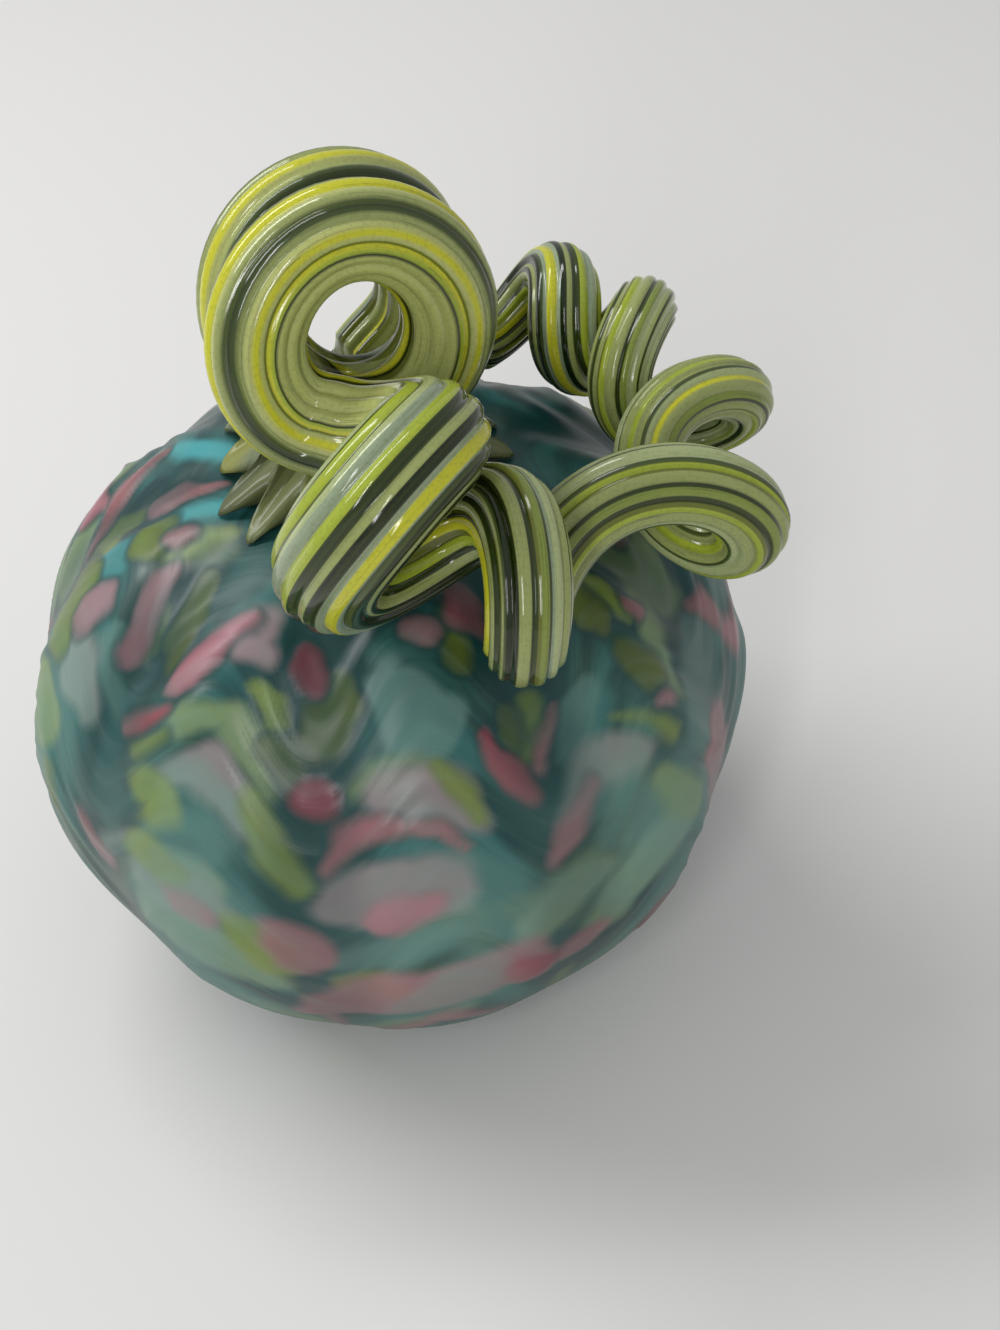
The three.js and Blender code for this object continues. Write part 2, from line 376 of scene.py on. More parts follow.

# %% [markdown]
# The colours of the skin are chips of glass that were picked up on the hot bubble and melted in.
# Each chip has sagged with the skin, so it is a soft streak that follows an arch over a lobe or
# runs down a valley. A chip is described here by a few stops: degrees round from the front, degrees
# of latitude, and its half width in millimetres. Later kinds lie over earlier ones, so the broad
# pools of dark and pale teal come first and the small rose chips last. These chips, on the side
# that the photograph shows, are laid one by one.

# %% The chips of coloured glass
CHIPS = {
    "deep": [
        [(-117, 38, 7.5), (-119, 40, 7.5), (-118, 46, 6.6)],
        [(-112, 52, 3.1), (-105, 58, 2.6), (-99, 62, 1.7)],
        [(-54, 32, 1.6), (-52, 35, 1.9), (-52, 40, 1.6), (-53, 44, 1)],
        [(-40, 64, 4.5), (-42, 60, 4.1), (-42, 56, 2.6), (-42, 52, 1.4)],
        [(-20, 43, 0.9), (-18, 37, 1.1), (-17, 34, 1.6)],
        [(-56, 31, 2.3), (-55, 26, 2.5), (-54, 20, 3.9), (-53, 15, 5.5), (-52, 12, 4.5)],
        [(-21, 27, 0.5), (-19, 23, 1), (-17, 19, 1.6)],
        [(-8, 28, 2.8), (-10, 22, 3.8), (-12, 18, 3.1), (-14, 13, 1.5)],
        [(-17, 8, 2.4), (-14, 2, 2.5), (-12, -2, 2.1), (-14, -12, 3.3), (-19, -21, 2.9)],
        [(-11, 14, 0.7), (-6, 16, 1.1), (-1, 17, 1.1), (5, 16, 1)],
        [(16, 43, 1.1), (18, 39, 1.6), (23, 36, 1.7), (28, 34, 1.6)],
        [(12, 27, 1.8), (14, 23, 2.8), (17, 17, 3.6), (20, 14, 3.6), (24, 16, 1.9)],
        [(42, 19, 1.9), (46, 15, 2.7), (52, 12, 3.2), (50, 8, 3.8)],
        [(42, 33, 2.5), (46, 28, 3.3), (50, 22, 3.6), (52, 16, 2.6)],
        [(75, 27, 2.9), (79, 19, 4.8)],
    ],
    "pale": [
        [(-64, 40, 2.3), (-64, 36, 2.7), (-60, 32, 2.1), (-57, 30, 1.7)],
        [(-42, 16, 1.6), (-36, 20, 2.8), (-31, 20, 3.1), (-30, 16, 3.1), (-33, 13, 2.7)],
        [(-12, -6, 2.9), (-6, -3, 4.4), (0, -1, 4.2), (5, 1, 2.6)],
        [(31, 15, 3), (35, 14, 3.9), (39, 10, 3.6), (36, 7, 5), (32, 8, 3.8)],
        [(68, 20, 7.5), (65, 16, 7.5), (58, 15, 7.5)],
        [(-1, 46, 4.8), (3, 42, 5.9), (7, 37, 4.6)],
        [(36, 34, 2.6), (31, 31, 3.1), (30, 26, 2.5)],
    ],
    # The aqua chips high on the left are aqua glass with a painted sheen on it.
    "aqua": [
        [(-114, 57, 2.4), (-112, 63, 3.5), (-110, 68, 2.8)],
        [(-80, 56, 1.6), (-78, 61, 2.2), (-75, 66, 2.7), (-73, 69, 2.4)],
        [(-82, 42, 4.8), (-80, 46, 5.2), (-78, 50, 3.6), (-79, 54, 2.1)],
    ],
    "sage": [
        [(-116, 37, 5.5), (-118, 39, 7.1), (-119, 40, 0.4)],
        [(-60, 56, 1.7), (-57, 58, 2.5), (-54, 61, 2.2)],
        [(-100, 27, 6.1), (-100, 30, 6.2), (-102, 33, 3.3)],
        [(-40, 35, 3.2), (-35, 38, 2.8), (-30, 39, 2.9), (-27, 35, 3.1), (-24, 31, 2.6), (-22, 27, 1.8)],
        [(-36, 10, 4.2), (-32, 9, 4.5), (-30, 9, 2.9)],
        [(-40, -5, 7.5), (-34, -5, 7.5), (-29, -7, 7.5), (-25, -12, 4.5)],
        [(-8, 28, 1.4), (-4, 31, 2.3), (0, 33, 2.2), (4, 32, 1.8)],
        [(18, -4, 4.8), (21, -2, 5.9), (25, 0, 5.6), (29, 2, 4.5)],
        [(31, -10, 5.2), (34, -6, 6.2), (38, -3, 6.5), (42, -1, 6.5)],
        [(64, 46, 4.5), (66, 42, 6.3), (66, 37, 5.8), (66, 33, 5)],
        [(59, 37, 4), (55, 32, 3.2), (54, 27, 2.4), (53, 23, 1.7)],
    ],
    "mauve": [
        [(-145, 41, 1.2), (-143, 40, 0.9)],
        [(-146, 43, 7.5), (-143, 44, 7.5)],
        [(-68, 51, 2), (-64, 53, 2.8), (-61, 55, 2)],
        [(-70, 32, 5), (-68, 30, 6.4), (-65, 29, 4.4), (-62, 26, 3.5), (-62, 24, 2)],
        [(-28, 55, 2.4), (-30, 52, 3), (-32, 50, 3.3), (-27, 49, 2.7)],
        [(-40, 26, 2.7), (-36, 29, 3.7), (-32, 30, 4.8), (-29, 27, 4), (-27, 23, 3), (-26, 20, 1.4)],
        [(-53, 4, 1.8), (-48, 9, 1.4), (-45, 12, 1)],
        [(-43, 2, 3.2), (-38, 5, 5.5), (-32, 5, 4.8), (-29, 3, 3.1)],
        [(-13, 6, 3.7), (-10, 8, 5.9), (-6, 10, 7.2), (0, 12, 7.1), (4, 12, 6), (6, 9, 3.7)],
        [(0, 31, 2.6), (-3, 27, 3.6), (1, 28, 4.7), (6, 27, 5), (9, 23, 3.2), (11, 21, 1.6)],
        [(40, 21, 3.2), (36, 22, 3.9), (32, 21, 3.3), (29, 18, 3.5), (26, 14, 3)],
    ],
    "lime": [
        [(-90, 39, 4.2), (-91, 42, 4.7), (-93, 44, 3.8), (-92, 47, 2.6), (-92, 50, 1.8)],
        [(-69, 55, 2.3), (-66, 58, 3.1), (-63, 60, 3.1), (-60, 64, 2.3)],
        [(-56, 38, 0.9), (-56, 41, 1.8), (-57, 44, 1.8), (-58, 47, 1.1)],
        [(-78, 18, 7.2), (-74, 16, 6.7)],
        [(-26, 43, 1.9), (-23, 41, 2.6), (-21, 37, 1.9)],
        [(-44, 21, 3.3), (-43, 23, 3.6), (-40, 22, 4.5), (-41, 19, 3)],
        [(-25, 26, 1.9), (-23, 22, 3.1), (-21, 17, 3.3), (-19, 13, 3.1), (-17, 10, 2.5)],
        [(-43, 11, 3.7), (-40, 10, 4.5), (-37, 9, 2.9)],
        [(-27, 0, 3.8), (-24, -3, 5), (-21, -6, 5.9)],
        [(6, 32, 1.5), (8, 29, 1.9), (10, 26, 1.8), (11, 22, 1.4)],
        [(-12, -13, 3), (-8, -12, 4.7), (-4, -12, 3.5)],
        [(25, 35, 3.1), (23, 32, 3.8), (22, 29, 2.7), (22, 27, 1.1)],
        [(43, 13, 2.5), (46, 8, 3.6), (48, 3, 4.8)],
        [(38, 28, 0.8), (42, 26, 1.4), (46, 22, 1.5), (48, 18, 1.7)],
        [(49, 49, 2), (51, 45, 3.1), (52, 42, 2.2), (53, 39, 1.7)],
    ],
    "olive": [
        [(-76, 52, 2.6), (-76, 54, 4.5), (-76, 56, 4.1), (-75, 58, 1.5)],
        [(-48, 42, 2.7), (-49, 44, 4.1), (-50, 48, 3.8), (-51, 51, 3), (-52, 55, 2.5), (-53, 56, 1.5)],
        [(-80, 32, 6.6), (-84, 33, 7.5), (-84, 35, 7.5), (-82, 39, 5)],
        [(-11, 44, 3.2), (-12, 41, 5.4), (-13, 37, 4.3), (-11, 35, 2.4)],
        [(-48, 26, 1.8), (-45, 29, 1.4), (-42, 32, 1)],
        [(-23, 34, 2), (-20, 32, 2.9), (-18, 29, 2.7), (-17, 27, 1.9)],
        [(16, 54, 1.6), (16, 51, 2.3), (15, 47, 2.7), (15, 45, 1.9)],
        [(20, 35, 2), (20, 33, 2.6), (20, 30, 1.4)],
        [(46, 36, 2.6), (47, 34, 3.7), (49, 30, 3.5), (51, 28, 2)],
        [(44, 46, 3.5), (46, 43, 3), (46, 41, 1.7)],
    ],
    "pink": [
        [(-109, 34, 4), (-110, 36, 4.8), (-107, 40, 1.9), (-104, 44, 1.1)],
        [(-58, 36, 1.6), (-59, 38, 2.6), (-60, 42, 2.5), (-62, 46, 2.6), (-63, 50, 2.6), (-62, 53, 1.7)],
        [(-76, 38, 2.3), (-74, 41, 3.9), (-73, 43, 3.2), (-73, 45, 1.6)],
        [(-44, 40, 2.5), (-42, 43, 3.3), (-40, 47, 2.8), (-38, 50, 2.4), (-35, 53, 1.7), (-32, 55, 1.1)],
        [(-36, 2, 3.2), (-33, 2, 3.8)],
        [(-6, 4, 2.6), (-4, 6, 3.9), (-1, 8, 3.7), (2, 8, 2.9)],
        [(48, 25, 1), (50, 24, 1.5)],
        [(75, 17, 1.9), (79, 12, 3.6)],
        [(63, -5, 7.5), (60, 4, 6.8), (63, 7, 4.1)],
        [(69, 48, 1.6), (70, 46, 2.1), (72, 45, 1.2)],
    ],
    "coral": [
        [(-90, 54, 3), (-90, 57, 3.8), (-90, 60, 2.7), (-89, 64, 1.7), (-89, 68, 0.8)],
        [(-72, 57, 1.3), (-70, 59, 2), (-69, 60, 1.7)],
        [(-58, 3, 3.1), (-57, 1, 4.2), (-54, 0, 3.4)],
        [(-21, 2, 2.1), (-20, -1, 4.7), (-18, -4, 5.3), (-16, -5, 5)],
        [(-13, 14, 1.4), (-11, 17, 2), (-9, 20, 2.3), (-6, 22, 2.2), (-1, 23, 1.7), (5, 22, 2),
         (8, 18, 1.1)],
        [(-18, -23, 4.6), (-12, -18, 5.6), (-4, -14, 7.5), (4, -12, 6.4), (10, -11, 6.4), (15, -12, 6.9),
         (19, -18, 3.4)],
        [(6, 54, 2.1), (9, 53, 2.8), (11, 52, 1.7)],
        [(29, 33, 0.7), (27, 30, 0.9), (24, 27, 1.5), (23, 25, 1.3)],
        [(31, 19, 1.2), (28, 16, 2.2), (25, 12, 3), (22, 9, 2)],
        [(24, -16, 3.1), (26, -15, 3.7), (30, -13, 2.4)],
        [(70, 27, 1.8), (73, 24, 2.9), (74, 21, 2.5)],
        [(54, 40, 1.4), (56, 37, 2)],
    ],
    "rose": [
        [(-19, 49, 1.8), (-18, 47, 3.1), (-16, 44, 3.1), (-15, 42, 1.8)],
        [(-52, 27, 1), (-49, 30, 1.8), (-46, 33, 1.4), (-44, 35, 1.1)],
        [(-16, 26, 3.1), (-14, 26, 3.5), (-13, 26, 3.1)],
        [(22, 54, 2.5), (20, 52, 3.2), (22, 49, 2)],
        [(15, 34, 1), (16, 29, 2.4), (18, 26, 2.8), (20, 22, 1.8)],
        [(15, -14, 3.9), (18, -16, 4.9)],
    ],
}
print("chips laid by eye:", {kind: len(chips) for kind, chips in CHIPS.items()})

# %% [markdown]
# The far side isn't in the photograph, but it is the same glass. Its chips are laid by rule, with a
# fixed seed: at each place on a lobe's crest two chips drape along the arch, and now and then one
# runs down the valley beside it. Some kinds are drawn more often than others, as on the near side.
# Spreads and runs are in degrees and widths in millimetres.

# %% The chips of the far side
CREST_STEP = 40
FAR_PLACES = [
    ((125, 165, -155, -115), (-26, -14, -2, 10, 22, 33, 44)),
    ((-75, -35, 5, 45, 85), (-42, -30)),
    ((99,), (-18, -6, 6, 18, 30, 40)),
    ((-90,), (-18, -7, 4)),
]
FAR_KINDS = {"pale": 4, "sage": 4, "mauve": 4, "lime": 5, "olive": 3, "pink": 2, "coral": 2,
             "rose": 1, "aqua": 1}
VALLEY_KINDS = ["olive", "rose", "coral", "lime"]
VALLEY_SHARE = 0.3
CHIPS_PER_SPOT = 2
FAR_SEED = 9
CREST_SPREAD = 13
LATITUDE_SPREAD = 4
CHIP_REACH = (4, 11)
CHIP_WIDTH = (2.4, 4.6)
VALLEY_SPREAD = 4
VALLEY_WIDTH = (2, 3.4)
VALLEY_HALF_RUN = 5
VALLEY_TOP, VALLEY_TAIL = 1.6, 1.0


def arch_at(around):
    """How far the arches have drooped there: 0 on a lobe's crest, 1 in a valley."""
    return 0.5 - 0.5 * math.cos(math.radians(SHELL["Lobes"] * (around - SHELL_TURN)))


def draped_chip(draw, crest, latitude):
    """A chip that lies along an arch of one lobe."""
    middle = crest + draw.uniform(-CREST_SPREAD, CREST_SPREAD)
    reach = draw.uniform(*CHIP_REACH)
    width = draw.uniform(*CHIP_WIDTH)
    stops = []
    for side, share in ((-1, 0.5), (0, 1.0), (1, 0.5)):
        around = middle + side * reach
        stops.append((around, latitude + SHELL["Arch Droop"] * (0.5 - arch_at(around)), width * share))
    return stops


def valley_chip(draw, crest, latitude):
    """A chip that has run down the valley beside a lobe."""
    middle = crest + CREST_STEP / 2 + draw.uniform(-VALLEY_SPREAD, VALLEY_SPREAD)
    width = draw.uniform(*VALLEY_WIDTH)
    high, low = latitude + VALLEY_HALF_RUN, latitude - VALLEY_HALF_RUN
    return [(middle, high, VALLEY_TOP), (middle, latitude, width), (middle, low, VALLEY_TAIL)]


def far_chips():
    """Chips for the crests and latitudes that the photograph doesn't show."""
    draw = random.Random(FAR_SEED)
    kinds, shares = list(FAR_KINDS), list(FAR_KINDS.values())
    spots = [(crest, latitude) for crests, latitudes in FAR_PLACES
             for crest in crests for latitude in latitudes]
    for crest, latitude in spots:
        for _ in range(CHIPS_PER_SPOT):
            kind = draw.choices(kinds, shares)[0]
            shifted = latitude + draw.uniform(-LATITUDE_SPREAD, LATITUDE_SPREAD)
            yield kind, draped_chip(draw, crest, shifted)
        if draw.random() < VALLEY_SHARE:
            kind = draw.choice(VALLEY_KINDS)
            yield kind, valley_chip(draw, crest, latitude)


print("chips laid by rule:", len(list(far_chips())))

# %% [markdown]
# Each kind of chip becomes one attribute on the body: how far a point lies inside the nearest chip
# of that kind. The material turns that distance into a soft edge. Distances are measured through
# space from points along the chip, which numpy does for a whole chip at once. A point along a chip
# is the average of its nearest mesh points, because snapping to one of them leaves jagged edges.

# %% Melt the chips into the skin
MELT_REACH = 8 * MM
MELT_STEPS = 7
MELT_SPREAD = 1.05
NEAREST = 4
PULL_FLOOR = 0.01
FAR_AWAY = 1e6
SWELL_WIDTH = 2 * MM
SWELL_START = 0.3
DRAGS = ((21 * MM, 1.2 * MM, 1.0), (9 * MM, 0.5 * MM, 2.0))
CHIP_RISE = {"olive": 0.2 * MM, "pink": 0.15 * MM, "coral": 0.3 * MM, "rose": 0.45 * MM}


def read(mesh, name, width=1, kind="value"):
    """One of a mesh's attributes as numbers."""
    data = mesh.attributes[name].data
    numbers = np.empty(len(data) * width)
    data.foreach_get(kind, numbers)
    return numbers.reshape(-1, width) if width > 1 else numbers


def dragged(places):
    """The places as the hot skin dragged them, so that no chip keeps a plain outline."""
    moved = places.copy()
    for wave, push, phase in DRAGS:
        moved += push * np.sin(np.roll(places, 1, axis=1) * math.tau / wave + phase)
    return moved


def melt_chips(mesh):
    """Stores each kind of chip as an attribute, and lifts the skin over the small ones."""
    places = read(mesh, "position", 3, "vector")
    flowed = dragged(places)
    around, latitude = read(mesh, "around"), read(mesh, "latitude")
    outside = read(mesh, "inside") < 0.5
    depth = {kind: np.full(len(places), -MELT_REACH) for kind in CHIPS}
    laid = [(kind, chip) for kind, chips in CHIPS.items() for chip in chips] + list(far_chips())
    for kind, chip in laid:
        stops = np.array(chip, float)
        along = np.linspace(0, len(stops) - 1, MELT_STEPS * (len(stops) - 1) + 1)
        for a, lat, half in zip(*(np.interp(along, range(len(stops)), stops[:, k]) for k in range(3))):
            turn = (around - a + 180) % 360 - 180
            shrink = math.cos(math.radians(lat))
            apart = (turn * shrink) ** 2 + (latitude - lat) ** 2 + FAR_AWAY * ~outside
            near = np.argpartition(apart, NEAREST)[:NEAREST]
            pull = 1 / (apart[near] + PULL_FLOOR)
            gap = np.linalg.norm(flowed - pull @ flowed[near] / pull.sum(), axis=1)
            depth[kind] = np.maximum(depth[kind], half * MELT_SPREAD * MM - gap)
    normals = np.empty(len(places) * 3)
    mesh.vertices.foreach_get("normal", normals)
    rise = np.zeros(len(places))
    for kind, inward in depth.items():
        share = np.clip(inward / MELT_REACH / 2 + 0.5, 0, 1) * outside
        layer = mesh.attributes.new(kind, "FLOAT", "POINT")
        layer.data.foreach_set("value", share)
        swell = np.clip(inward / SWELL_WIDTH + SWELL_START, 0, 1) * outside
        rise = np.maximum(rise, CHIP_RISE.get(kind, 0) * swell * swell * (3 - 2 * swell))
    mesh.vertices.foreach_set("co", (places + normals.reshape(-1, 3) * rise[:, None]).ravel())
    mesh.update()
    print("melted in", len(laid), "chips")


melt_chips(body.data)

# %% [markdown]
# The stem is one pull of hot cane. The maker lets it stretch while winding it round a rod, so the
# turns wander: each stop below gives the angle wound so far, the middle of the turn, the way its
# axis faces (round from the front, then up), the turn's half width and half height, how far that
# oval leans, and the thickness of the cane. Between stops every value is eased, and the middle of
# the cane is a point on the leaning oval. These are the measured model's own sizes.

# %% The winding's stops and how to read between them
WINDINGS = [
    (90, (-2, 3.5, 142.5), (9, 2), (15.5, 17.5), 1, 16.8),
    (450, (0, -16, 147), (-1, 8), (15.5, 17), 3, 16.5),
    (650, (-8, -28, 143), (8, -17), (7.5, 9.5), 37, 17.4),
    (775, (-2, -42.5, 133), (20, -33), (17, 16.5), -16, 19),
    (900, (6, -43, 127), (32, -50), (16, 12.5), 33, 18.8),
    (1240, (18, -49.5, 118), (104, -48), (11.5, 10.5), 48, 14),
    (1600, (54, -30, 111), (168, -24), (9.5, 9), 22, 13.8),
    (1960, (60, 1.5, 110), (185, -9), (10.5, 8.5), 4, 11.6),
    (2300, (51, 18, 116), (230, 4), (8, 7.5), -2, 12.4),
    (2560, (42.5, 29, 117), (238, 14), (8.5, 7.5), 13, 14),
    (2790, (24.5, 29, 119), (245, -2), (7.5, 6.5), 5, 10),
]
STOPS = np.array([[wound, *at, *facing, *half, lean, cane]
                  for wound, at, facing, half, lean, cane in WINDINGS], float)
FIRST_WOUND = -20
LAST_WOUND = WINDINGS[-1][0]
WOUND_STEP = 6
CANE_FOOT = np.array((0, 7, 115.0))
CANE_FOOT_LEAN = math.radians(25)
NECK_STEPS = 24
print("the winding goes", round(LAST_WOUND / 360, 1), "times round, by", len(STOPS), "stops")


def wound_values(wound):
    """All the values of the winding at one angle, eased through the stops."""
    last = len(STOPS) - 1
    i = int(np.clip(np.searchsorted(STOPS[:, 0], wound) - 1, 0, last - 1))

    def slope(k):
        before, after = STOPS[max(k - 1, 0)], STOPS[min(k + 1, last)]
        return (after - before) / (after[0] - before[0])

    span = STOPS[i + 1, 0] - STOPS[i, 0]
    t = (wound - STOPS[i, 0]) / span
    rise = t * t * (3 - 2 * t)
    return (STOPS[i] * (1 - rise) + STOPS[i + 1] * rise
            + span * slope(i) * t * (1 - t) ** 2 - span * slope(i + 1) * t * t * (1 - t))


def cane_point(wound):
    """Middle of the cane and its thickness, in millimetres."""
    _, x, y, z, facing, tilt, half_wide, half_high, lean, cane = wound_values(wound)
    facing, tilt, lean, turn = (math.radians(v) for v in (facing, tilt, lean, wound))
    axis = np.array((math.sin(facing) * math.cos(tilt), -math.cos(facing) * math.cos(tilt),
                     math.sin(tilt)))
    side = np.array((math.cos(facing), math.sin(facing), 0))
    up = np.cross(axis, side)
    across, rise = half_wide * math.cos(turn - lean), half_high * math.sin(turn - lean)
    return (np.array((x, y, z)) + side * (across * math.cos(lean) - rise * math.sin(lean))
            + up * (across * math.sin(lean) + rise * math.cos(lean))), cane


def unit(vector):
    """The vector at length 1."""
    return vector / np.linalg.norm(vector)


# %% [markdown]
# Before the first turn the cane rises out of the gather in one bend. At the far end it was cut
# hot, which leaves a rounded tip. Along the whole path a direction square to the cane is carried
# from step to step, so that the ribs neither twist nor jump.

# %% The cane's path
TIP_TURNS = (15, 30, 45, 60, 72, 82, 90)
NECK_BEND = 0.45


def middle_line():
    """Middles and thicknesses from the root to the tip, and the way the cane starts."""
    foot_heading = np.array((0, math.sin(CANE_FOOT_LEAN), math.cos(CANE_FOOT_LEAN)))
    start, thick = cane_point(FIRST_WOUND)
    heading = unit(cane_point(FIRST_WOUND + 1)[0] - start)
    reach = np.linalg.norm(start - CANE_FOOT) * NECK_BEND
    a, b, c, d = CANE_FOOT, CANE_FOOT + foot_heading * reach, start - heading * reach, start
    line = []
    for t in np.linspace(0, 1, NECK_STEPS, endpoint=False):
        s = 1 - t
        line.append((a * s ** 3 + 3 * b * s * s * t + 3 * c * s * t * t + d * t ** 3, thick))
    line += [cane_point(w) for w in range(FIRST_WOUND, LAST_WOUND + 1, WOUND_STEP)]
    return line, foot_heading


def cane_path():
    """Rows of the cane: middle, two directions square to it, radius and travel, in metres."""
    line, heading = middle_line()
    normal, travel, rows = np.array((1.0, 0, 0)), 0.0, []
    for i, (p, thick) in enumerate(line):
        before, after = line[max(i - 1, 0)][0], line[min(i + 1, len(line) - 1)][0]
        tangent = heading if i == 0 else unit(after - before)
        normal = unit(normal - tangent * np.dot(normal, tangent))
        travel += np.linalg.norm(p - before)
        rows.append((p, normal, np.cross(tangent, normal), thick / 2, travel))
    for turn in TIP_TURNS:
        rise = thick / 2 * math.sin(math.radians(turn))
        rows.append((p + tangent * rise, normal, np.cross(tangent, normal),
                     thick / 2 * math.cos(math.radians(turn)), travel + rise))
    p, normal, binormal, radius, travel = (np.array(column) for column in zip(*rows))
    return p * MM, normal, binormal, radius * MM, travel * MM


def path_mesh(rows):
    """The path as loose points that carry their directions and sizes."""
    p, normal, binormal, radius, travel = rows
    mesh = bpy.data.meshes.new("cane_path")
    mesh.vertices.add(len(p))
    mesh.vertices.foreach_set("co", p.ravel())
    for name, values in (("normal_way", normal), ("binormal_way", binormal),
                         ("radius_there", radius), ("travel", travel)):
        kind, field = ("FLOAT_VECTOR", "vector") if values.ndim == 2 else ("FLOAT", "value")
        layer = mesh.attributes.new(name, kind, "POINT")
        layer.data.foreach_set(field, values.ravel())
    return mesh


cane_rows = cane_path()
print("the cane is", round(cane_rows[4][-1] / MM), "mm long")

# %% [markdown]
# The root is where the gather of hot glass was dropped on the body. Its ribs were pulled out into
# claws that grip the dimple, with small arches between them. Each column of the root runs from a
# claw's edge up to the cane: on a rib's top it starts at the claw's tip, and between two ribs it
# starts higher and further in. The claws are seated by looking straight down onto the body.

# %% The ribs, which the root and the cane share
RIBS = 14
RIB_DEPTH = 0.1
RIB_TURN = math.radians(-6)
COLUMNS = 182
SWAY = 0.035
RIB_FLAT = 0.75


def groove(angle):
    """How deep a line of the cane lies between two ribs: 0 on a rib's top, 1 in the groove."""
    swayed = angle + SWAY * np.sin(3 * angle + 1) + SWAY * np.sin(5 * angle)
    return 1 - np.abs(np.cos((swayed - RIB_TURN) * RIBS / 2)) ** RIB_FLAT


print(RIBS, "ribs with", COLUMNS // RIBS, "columns each")

# %% [markdown]
# The root is neither a grid nor a sweep, so its rows are worked out one by one in numpy. The first
# rows close the plug that sits in the body's neck. The next run out under the claws, a hair's
# breadth above the skin. The last climb from the claws' edge to a row that the cane has too, so
# that root and cane meet point for point and can be welded.

# %% The root's mesh
PLUG_RADIUS = 7.7
PLUG_DEPTH = 3
CLAW_REACH = 27
CLAW_UNEVEN = 2
CLAW_WAVES = 5
CLAW_SHARPNESS = 1.9
NOTCH_REACH = 17.5
ROOT_ROW = 9
GATHER_X = -1.5
GATHER_Y = 1
SEAT_GAP = 0.35
RAY_START = 200 * MM
ARCH = 6.2
ARCH_SHARPNESS = 0.8
EDGE = 1.7
EDGE_ROUND = 0.06
SPREAD, CLAW_SPREAD = 1.45, 0.5
CLIMB, CLAW_CLIMB = 0.75, 0.35
NECK_EDGE = 8.3
UNDER_STEPS = (0.05, 0.2, 0.4, 0.6, 0.8, 0.93, 1.0)
CLIMB_STEPS = (0.015, 0.04, 0.08, 0.13, 0.19, 0.26, 0.34, 0.43, 0.52, 0.61, 0.7, 0.79, 0.87,
               0.94, 1.0)
PLUG_TRAVEL, UNDER_TRAVEL, EDGE_TRAVEL = -0.02, -0.018, -0.016
DOWN = Vector((0, 0, -1))


def seat_heights(x, y):
    """Height of the body's outer skin under places, in millimetres."""
    heights = []
    for px, py in zip(x, y):
        place = body.ray_cast(Vector((px * MM, py * MM, RAY_START)), DOWN)[1]
        heights.append(place.z / MM)
    return np.array(heights)


def root_rows():
    """Rows of the root from its sole in the neck, out to the claws' edge and up to the cane."""
    angle = np.linspace(-math.pi, math.pi, COLUMNS, endpoint=False)
    east, north = np.cos(angle), np.sin(angle)
    claw = 1 - groove(angle)
    p, normal, binormal, radius, travel = (part[ROOT_ROW] for part in cane_rows)
    girth = radius / MM * (1 - RIB_DEPTH * groove(angle))
    top = p / MM + girth[:, None] * (east[:, None] * normal + north[:, None] * binormal)
    tip = CLAW_REACH + CLAW_UNEVEN * np.cos(CLAW_WAVES * angle)
    reach = NOTCH_REACH + (tip - NOTCH_REACH) * claw ** CLAW_SHARPNESS
    rim = np.stack((GATHER_X + reach * east, GATHER_Y + reach * north), 1)
    plug = np.stack((PLUG_RADIUS * east, PLUG_RADIUS * north), 1)
    sole = np.full(COLUMNS, seat_heights([NECK_EDGE], [0])[0] - PLUG_DEPTH)
    rows = [(np.zeros((COLUMNS, 2)), sole, PLUG_TRAVEL), (plug, sole, PLUG_TRAVEL)]
    for s in UNDER_STEPS:
        flat = plug + (rim - plug) * s
        lifted = SEAT_GAP + ARCH * (1 - claw) ** ARCH_SHARPNESS * s
        rows.append((flat, seat_heights(*flat.T) + lifted, UNDER_TRAVEL))
    edge = rows[-1][1]
    for h in CLIMB_STEPS:
        s = (1 - h) ** (SPREAD + CLAW_SPREAD * claw)
        flat = top[:, :2] + (rim - top[:, :2]) * s[:, None]
        lip = EDGE * np.minimum(1, h / EDGE_ROUND) ** 0.5
        start = edge + lip
        height = start + (top[:, 2] - start) * h ** (CLIMB + CLAW_CLIMB * claw)
        rows.append((flat, height, EDGE_TRAVEL * (1 - h)))
    return rows


def root_mesh():
    """The root's rows joined into a mesh, with the cane's UV layout."""
    rows = root_rows()
    points = np.concatenate([np.column_stack((flat, height)) for flat, height, _ in rows]) * MM
    corners, uvs = [], []
    for i in range(len(rows) - 1):
        for j in range(COLUMNS):
            k = (j + 1) % COLUMNS
            a, b = i * COLUMNS, (i + 1) * COLUMNS
            corners.append((a + j, a + k, b + k, b + j))
            left, right = j / COLUMNS, (j + 1) / COLUMNS
            low, high = rows[i][2], rows[i + 1][2]
            uvs += [(left, low), (right, low), (right, high), (left, high)]
    mesh = bpy.data.meshes.new("root")
    mesh.from_pydata(points.tolist(), [], corners)
    layer = mesh.attributes.new("UVMap", "FLOAT2", "CORNER")
    layer.data.foreach_set("vector", np.array(uvs).ravel())
    return mesh


root = add_object("root_seed", root_mesh())
print("the root has", len(root.data.polygons), "faces")

# %% [markdown]
# The cane follows its path, which is what Geometry Nodes do best. A flat grid gets one row for each
# point of the path. Each row looks up its point's middle, directions and radius, and its columns
# go round. The ribs come from one formula: a rib's top is where a cosine of the angle is largest.

# %% The ribbed cane's tree
CANE = {"Columns": COLUMNS, "Ribs": float(RIBS), "Rib Depth": RIB_DEPTH, "Rib Turn": RIB_TURN,
        "First Row": ROOT_ROW, "Sway": SWAY, "Rib Flat": RIB_FLAT, "Root": root,
        "Finish": cane_gloss}
CANE_WELD = 0.004 * MM


